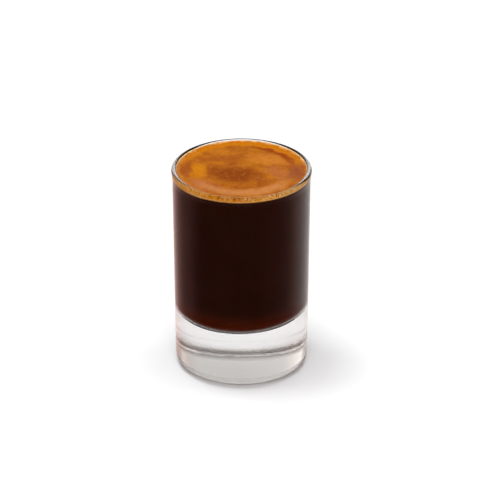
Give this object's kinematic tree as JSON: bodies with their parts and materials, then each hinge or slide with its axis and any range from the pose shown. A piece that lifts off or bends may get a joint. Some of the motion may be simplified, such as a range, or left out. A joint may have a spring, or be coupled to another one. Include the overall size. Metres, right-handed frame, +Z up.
{
  "type": "double espresso in a shot glass",
  "caption": "Double espresso with a golden-brown crema, filled to the brim of a straight, heavy-based shot glass.",
  "frame": {"origin": "centre of the glass's foot, on the surface it stands on", "axes": "+Z up along the axis of the glass; -Y faces the viewer of the picture and +X is to that viewer's right"},
  "size_m": [0.046, 0.046, 0.07],
  "materials": {
    "clear_glass": "clear pressed soda-lime glass, smooth inside and out",
    "black_coffee": "near-black brown liquid",
    "golden_crema": "mottled golden-brown fine foam"
  },
  "bodies": {
    "root": {"glass": "clear_glass", "coffee": "black_coffee", "crema": "golden_crema"}
  },
  "joints": []
}
